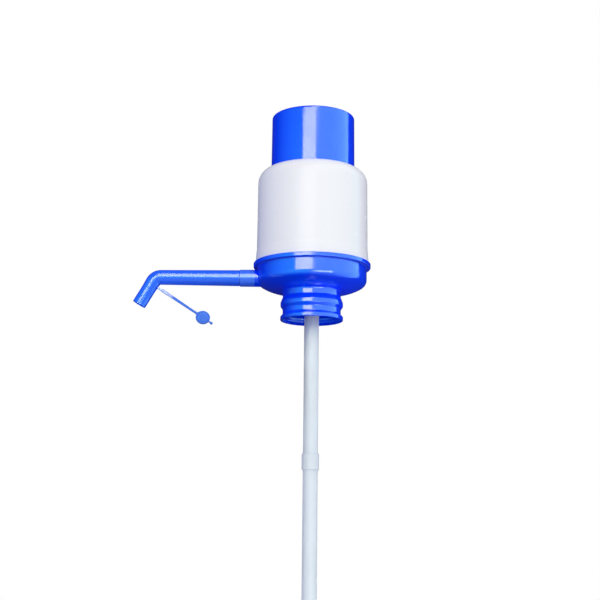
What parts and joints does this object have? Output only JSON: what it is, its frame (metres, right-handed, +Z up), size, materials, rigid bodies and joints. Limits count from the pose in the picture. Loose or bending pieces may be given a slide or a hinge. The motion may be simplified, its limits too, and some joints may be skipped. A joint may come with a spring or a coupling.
{
  "type": "water jug hand pump",
  "caption": "Hand pump for a large water jug: press cap over a bellows in a round housing, ribbed neck collar, side spout with tethered dust cap, jointed dip tube.",
  "frame": {"origin": "centre of the jug's mouth, on the plane of its rim, where the neck gasket seals", "axes": "+Z up along the pump's axis, -X along the spout, viewed from -Y in the picture"},
  "size_m": [0.228, 0.113, 0.659],
  "materials": {
    "blue_moulding": "glossy moulded ABS, vivid blue",
    "light_blue_moulding": "glossy moulded plastic, slightly lighter blue",
    "spout_blue": "glossy moulded PP, blue",
    "tether_blue": "soft translucent LDPE, mid blue",
    "white_moulding": "glossy moulded ABS, white",
    "milky_tube": "translucent natural PE tube",
    "natural_plastic": "natural unpigmented PP",
    "bellows_rubber": "soft food-grade rubber, off-white",
    "white_seal": "soft foam rubber, white",
    "black_rubber": "black nitrile rubber",
    "red_silicone": "red silicone rubber",
    "screw_steel": "plain stainless steel"
  },
  "bodies": {
    "pump_body": {"base_bowl": "blue_moulding", "neck_gasket": "white_seal", "water_elbow": "natural_plastic", "outlet_nipple": "light_blue_moulding", "nipple_nut": "natural_plastic", "port_washer": "black_rubber", "spout_o_ring": "black_rubber", "valve_deck": "natural_plastic", "deck_seal": "black_rubber", "deck_screws": "screw_steel", "bellows": "bellows_rubber", "bellows_clamp_ring": "natural_plastic", "clamp_screws": "screw_steel", "housing": "white_moulding", "dip_tube_upper": "milky_tube", "tube_joiner_upper": "milky_tube", "dip_tube_middle": "milky_tube", "tube_joiner_lower": "milky_tube", "dip_tube_lower": "milky_tube"},
    "press_button": {"press_cap": "blue_moulding", "bellows_top_plate": "natural_plastic", "top_clamp_ring": "natural_plastic", "plate_screws": "screw_steel"},
    "inlet_valve": {"inlet_flap": "red_silicone"},
    "outlet_valve": {"outlet_flap": "red_silicone"},
    "spout_arm": {"spout": "spout_blue"},
    "tether": {"tether_pin": "spout_blue", "cap_tether": "tether_blue"},
    "cap": {"dust_cap": "tether_blue"}
  },
  "joints": [
    {"name": "press_slide", "type": "slide", "parent": "pump_body", "child": "press_button", "axis": [0, 0, -1], "range_m": [0, 0.042], "stiffness_N_per_m": 600, "springref_m": -0.01, "deforming": ["bellows"]},
    {"name": "inlet_flap_lift", "type": "slide", "parent": "press_button", "child": "inlet_valve", "axis": [0, 0, -1], "range_m": [0, 0.0012], "stiffness_N_per_m": 20, "springref_m": -0.001},
    {"name": "outlet_flap_lift", "type": "slide", "parent": "pump_body", "child": "outlet_valve", "axis": [0, 0, -1], "range_m": [0, 0.0012], "stiffness_N_per_m": 20, "springref_m": -0.001},
    {"name": "spout_swivel", "type": "hinge", "parent": "pump_body", "child": "spout_arm", "pos_m": [-0.0743, 0, 0.0157], "axis": [1, 0, 0], "continuous": true},
    {"name": "tether_swing", "type": "hinge", "parent": "spout_arm", "child": "tether", "pos_m": [-0.14309, 0, 0.00236], "axis": [0, 1, 0], "range_deg": [-25, 55]},
    {"name": "cap_flip", "type": "hinge", "parent": "tether", "child": "cap", "pos_m": [-0.11052, -0.00136, -0.01845], "axis": [-0.5159, -0.342, -0.7854], "range_deg": [0, 110], "stiffness_Nm_per_rad": 0.01}
  ]
}
